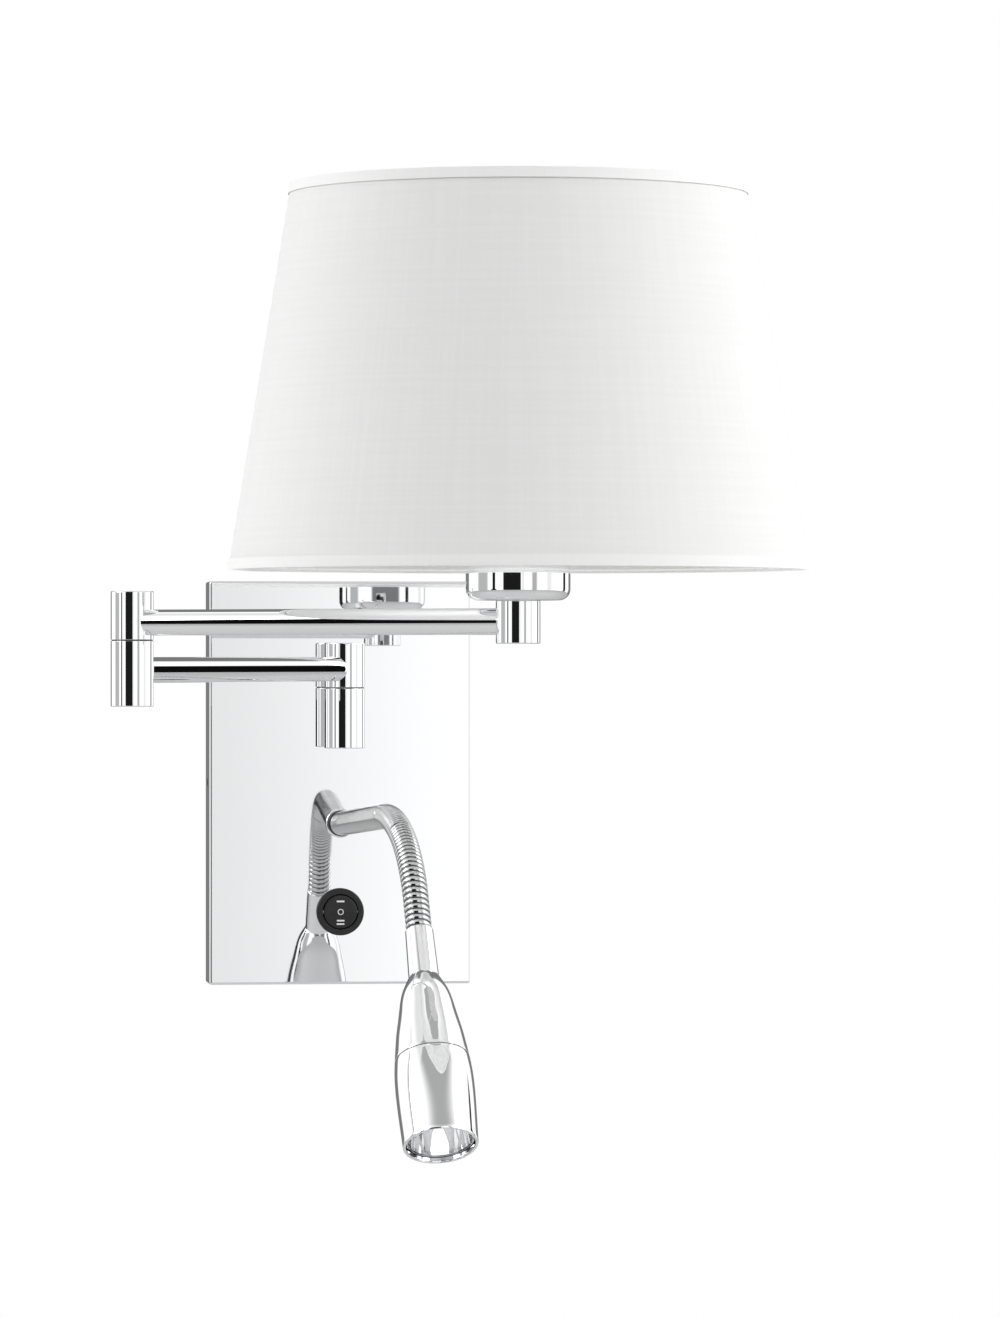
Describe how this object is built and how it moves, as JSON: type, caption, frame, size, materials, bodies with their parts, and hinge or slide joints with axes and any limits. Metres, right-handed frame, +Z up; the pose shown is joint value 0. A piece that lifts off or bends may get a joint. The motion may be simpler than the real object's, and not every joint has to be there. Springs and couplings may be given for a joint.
{
  "type": "swing arm wall lamp",
  "caption": "Wall lamp: mirror-bright rectangular box, hinged swing arm carrying a tapered fabric shade, rocker switch, and a flexible arm with a bullet-shaped reading head.",
  "frame": {"origin": "centre of the two wall screw slots, on the wall's surface", "axes": "+X to the right along the wall, +Y into the wall, +Z up"},
  "size_m": [0.3064, 0.4538, 0.4395],
  "materials": {
    "chrome": "polished chrome plate",
    "hose_chrome": "chrome plated spiral hose",
    "zinc_steel": "zinc plated steel",
    "brass": "plain brass",
    "black_washer": "matt nylon",
    "black_plastic": "fine satin moulding",
    "mark_white": "printed white mark",
    "white_plastic": "satin moulding",
    "lead_sleeve": "soft insulating sleeve",
    "white_wire": "white coated wire",
    "shade_fabric": "plain fine weave, laminated to a liner",
    "frosted_glass": "frosted",
    "bulb_cap_metal": "rolled thread",
    "sink_aluminium": "plain extruded",
    "board_white": "white solder mask",
    "reflector_silver": "bright metallised",
    "lens_clear": "clear"
  },
  "bodies": {
    "wall_box": {"backplate_shell": "chrome", "shell_side_screws": "zinc_steel", "wall_bracket": "zinc_steel", "front_stiffener": "zinc_steel", "stub_tube": "chrome", "stub_nipple": "zinc_steel", "stub_nut": "zinc_steel", "column_1_lower_sleeve": "chrome", "pivot_1_nipple": "zinc_steel", "pivot_1_nut": "zinc_steel", "pivot_1_washer": "black_washer", "neck_root_ring": "chrome", "neck_bush": "black_plastic", "neck_nut": "zinc_steel", "neck_segment_1": "hose_chrome", "switch_housing": "black_plastic", "switch_terminals": "brass", "rocker_pin": "zinc_steel", "led_driver": "white_plastic", "terminal_block": "white_plastic", "terminal_screws": "zinc_steel", "earth_screw": "brass", "supply_leads": "lead_sleeve"},
    "rocker": {"switch_rocker": "black_plastic", "rocker_marks": "mark_white"},
    "inner_arm": {"column_1_upper_sleeve": "chrome", "column_1_top_cap": "chrome", "arm_1_tube": "chrome", "column_2_lower_sleeve": "chrome", "pivot_2_nipple": "zinc_steel", "pivot_2_nut": "zinc_steel", "pivot_2_washer": "black_washer", "arm_1_lead": "lead_sleeve"},
    "outer_arm": {"column_2_upper_sleeve": "chrome", "column_2_top_cap": "chrome", "arm_2_tube": "chrome", "column_3_sleeve": "chrome", "lamp_nipple": "zinc_steel", "lamp_nut": "zinc_steel", "shade_cup": "chrome", "lampholder": "white_plastic", "shade_clamp_rings": "white_plastic", "shade_frame": "white_wire", "shade_top_ring": "white_wire", "shade_cloth": "shade_fabric", "bulb_globe": "frosted_glass", "bulb_cap": "bulb_cap_metal", "arm_2_lead": "lead_sleeve"},
    "neck_link_1": {"neck_segment_2": "hose_chrome"},
    "neck_link_2": {"neck_segment_3": "hose_chrome"},
    "neck_link_3": {"neck_segment_4": "hose_chrome"},
    "neck_link_4": {"neck_segment_5": "hose_chrome"},
    "reading_head": {"neck_segment_6": "hose_chrome", "neck_collar": "chrome", "head_rear_shell": "chrome", "head_front_shell": "chrome", "heat_sink": "sink_aluminium", "led_board": "board_white", "reflector": "reflector_silver", "head_lens": "lens_clear"}
  },
  "joints": [
    {"name": "arm_1_swing", "type": "hinge", "parent": "wall_box", "child": "inner_arm", "pos_m": [0, -0.049, 0.047], "axis": [0, 0, 1], "range_deg": [-45, 60]},
    {"name": "arm_2_swing", "type": "hinge", "parent": "inner_arm", "child": "outer_arm", "pos_m": [-0.11471, -0.21283, 0.07], "axis": [0, 0, -1], "range_deg": [-57, 170]},
    {"name": "switch_rocker_tilt", "type": "hinge", "parent": "wall_box", "child": "rocker", "pos_m": [0, -0.0253, -0.064], "axis": [1, 0, 0], "range_deg": [-9, 9]},
    {"name": "neck_pitch_1", "type": "hinge", "parent": "wall_box", "child": "neck_link_1", "pos_m": [0.00136, -0.05993, -0.01864], "axis": [0.9986, 0.0523, 0], "range_deg": [-15, 30]},
    {"name": "neck_yaw_1", "type": "hinge", "parent": "neck_link_1", "child": "neck_link_2", "pos_m": [0.00378, -0.10612, -0.01622], "axis": [-0.0027, 0.0523, 0.9986], "range_deg": [-35, 35]},
    {"name": "neck_pitch_2", "type": "hinge", "parent": "neck_link_2", "child": "neck_link_3", "pos_m": [0.0062, -0.15232, -0.01379], "axis": [0.9986, 0.0523, 0], "range_deg": [-30, 30]},
    {"name": "neck_yaw_2", "type": "hinge", "parent": "neck_link_3", "child": "neck_link_4", "pos_m": [0.00862, -0.19847, -0.01435], "axis": [0.0077, -0.1467, 0.9892], "range_deg": [-35, 35]},
    {"name": "neck_pitch_3", "type": "hinge", "parent": "neck_link_4", "child": "reading_head", "pos_m": [0.01091, -0.24213, -0.02877], "axis": [0.9986, 0.0523, 0], "range_deg": [-35, 30]}
  ]
}
